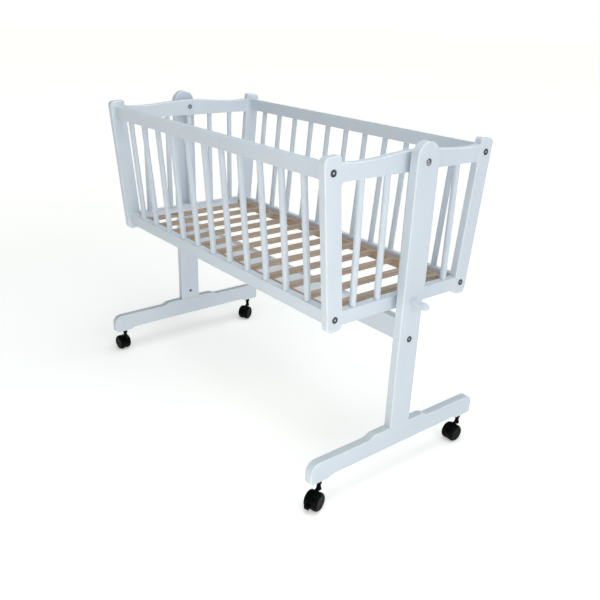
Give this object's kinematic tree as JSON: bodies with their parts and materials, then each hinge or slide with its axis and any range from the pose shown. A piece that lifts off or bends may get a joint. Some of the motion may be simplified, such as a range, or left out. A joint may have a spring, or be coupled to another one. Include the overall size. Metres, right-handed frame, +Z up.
{
  "type": "swinging cradle on stand",
  "caption": "White barred baby cradle that swings between two posts of a castored stand, with a slatted base and a peg that locks the swing.",
  "frame": {"origin": "on the floor, straight under the middle of the swing axis, midway between the two posts of the stand", "axes": "+X along the cradle towards the end with the locking peg, +Y across the cradle, +Z up"},
  "size_m": [1.088, 0.5685, 0.8079],
  "materials": {
    "painted_wood": "satin white paint on solid wood",
    "slat_wood": "unfinished planed softwood",
    "batten_wood": "unfinished knotty pine",
    "dowel_wood": "plain turned beech",
    "zinc_steel": "zinc plated",
    "chrome": "polished",
    "castor_plastic": "black moulded plastic with a soft gloss"
  },
  "bodies": {
    "stand": {"post_left": "painted_wood", "post_right": "painted_wood", "foot_left": "painted_wood", "foot_right": "painted_wood", "stretcher": "painted_wood", "stretcher_bolts": "zinc_steel", "stretcher_barrel_nuts": "zinc_steel", "stretcher_dowels": "dowel_wood", "foot_bolts": "zinc_steel", "foot_barrel_nuts": "zinc_steel", "foot_dowels": "dowel_wood", "castor_sockets": "zinc_steel", "pivot_bolts": "chrome", "pivot_sleeves": "chrome", "pivot_spacers": "zinc_steel"},
    "lock_peg": {"lock_peg": "painted_wood"},
    "cradle": {"corner_post_fl": "painted_wood", "corner_post_fr": "painted_wood", "corner_post_rl": "painted_wood", "corner_post_rr": "painted_wood", "end_top_rail_left": "painted_wood", "end_top_rail_right": "painted_wood", "end_lower_rail_left": "painted_wood", "end_lower_rail_right": "painted_wood", "end_bars_left": "painted_wood", "end_bars_right": "painted_wood", "side_top_rail_front": "painted_wood", "side_top_rail_rear": "painted_wood", "side_lower_rail_front": "painted_wood", "side_lower_rail_rear": "painted_wood", "side_bars_front": "painted_wood", "side_bars_rear": "painted_wood", "rail_dowels": "dowel_wood", "corner_bolts": "zinc_steel", "corner_barrel_nuts": "zinc_steel", "batten_front": "batten_wood", "batten_rear": "batten_wood", "batten_screws": "zinc_steel", "slats": "slat_wood", "slat_screws": "zinc_steel"},
    "castor_rf": {"castor_rf_housing": "castor_plastic", "castor_rf_pins": "zinc_steel"},
    "wheel_rf_a": {"castor_rf_wheel_a": "castor_plastic"},
    "wheel_rf_b": {"castor_rf_wheel_b": "castor_plastic"},
    "brake_rf": {"castor_rf_brake": "castor_plastic"},
    "castor_rr": {"castor_rr_housing": "castor_plastic", "castor_rr_pins": "zinc_steel"},
    "wheel_rr_a": {"castor_rr_wheel_a": "castor_plastic"},
    "wheel_rr_b": {"castor_rr_wheel_b": "castor_plastic"},
    "castor_lf": {"castor_lf_housing": "castor_plastic", "castor_lf_pins": "zinc_steel"},
    "wheel_lf_a": {"castor_lf_wheel_a": "castor_plastic"},
    "wheel_lf_b": {"castor_lf_wheel_b": "castor_plastic"},
    "brake_lf": {"castor_lf_brake": "castor_plastic"},
    "castor_lr": {"castor_lr_housing": "castor_plastic", "castor_lr_pins": "zinc_steel"},
    "wheel_lr_a": {"castor_lr_wheel_a": "castor_plastic"},
    "wheel_lr_b": {"castor_lr_wheel_b": "castor_plastic"}
  },
  "joints": [
    {"name": "swing", "type": "hinge", "parent": "stand", "child": "cradle", "pos_m": [0, 0, 0.766], "axis": [1, 0, 0], "range_deg": [-18, 18]},
    {"name": "peg_pull", "type": "slide", "parent": "stand", "child": "lock_peg", "axis": [1, 0, 0], "range_m": [0, 0.02]},
    {"name": "swivel_rf", "type": "hinge", "parent": "stand", "child": "castor_rf", "pos_m": [0.492, -0.2435, 0.09], "axis": [0, 0, 1], "continuous": true},
    {"name": "roll_rf_a", "type": "hinge", "parent": "castor_rf", "child": "wheel_rf_a", "pos_m": [0.49725, -0.25967, 0.023], "axis": [-0.9511, -0.309, 0], "continuous": true},
    {"name": "roll_rf_b", "type": "hinge", "parent": "castor_rf", "child": "wheel_rf_b", "pos_m": [0.49725, -0.25967, 0.023], "axis": [-0.9511, -0.309, 0], "continuous": true},
    {"name": "brake_rf", "type": "hinge", "parent": "castor_rf", "child": "brake_rf", "pos_m": [0.49725, -0.25967, 0.023], "axis": [-0.9511, -0.309, 0], "range_deg": [0, 25]},
    {"name": "swivel_rr", "type": "hinge", "parent": "stand", "child": "castor_rr", "pos_m": [0.492, 0.2435, 0.09], "axis": [0, 0, 1], "continuous": true},
    {"name": "roll_rr_a", "type": "hinge", "parent": "castor_rr", "child": "wheel_rr_a", "pos_m": [0.492, 0.2265, 0.023], "axis": [-1, 0, 0], "continuous": true},
    {"name": "roll_rr_b", "type": "hinge", "parent": "castor_rr", "child": "wheel_rr_b", "pos_m": [0.492, 0.2265, 0.023], "axis": [-1, 0, 0], "continuous": true},
    {"name": "swivel_lf", "type": "hinge", "parent": "stand", "child": "castor_lf", "pos_m": [-0.492, -0.2435, 0.09], "axis": [0, 0, 1], "continuous": true},
    {"name": "roll_lf_a", "type": "hinge", "parent": "castor_lf", "child": "wheel_lf_a", "pos_m": [-0.50891, -0.24528, 0.023], "axis": [-0.1045, 0.9945, 0], "continuous": true},
    {"name": "roll_lf_b", "type": "hinge", "parent": "castor_lf", "child": "wheel_lf_b", "pos_m": [-0.50891, -0.24528, 0.023], "axis": [-0.1045, 0.9945, 0], "continuous": true},
    {"name": "brake_lf", "type": "hinge", "parent": "castor_lf", "child": "brake_lf", "pos_m": [-0.50891, -0.24528, 0.023], "axis": [-0.1045, 0.9945, 0], "range_deg": [0, 25]},
    {"name": "swivel_lr", "type": "hinge", "parent": "stand", "child": "castor_lr", "pos_m": [-0.492, 0.2435, 0.09], "axis": [0, 0, 1], "continuous": true},
    {"name": "roll_lr_a", "type": "hinge", "parent": "castor_lr", "child": "wheel_lr_a", "pos_m": [-0.48455, 0.22822, 0.023], "axis": [-0.8988, -0.4384, 0], "continuous": true},
    {"name": "roll_lr_b", "type": "hinge", "parent": "castor_lr", "child": "wheel_lr_b", "pos_m": [-0.48455, 0.22822, 0.023], "axis": [-0.8988, -0.4384, 0], "continuous": true}
  ]
}
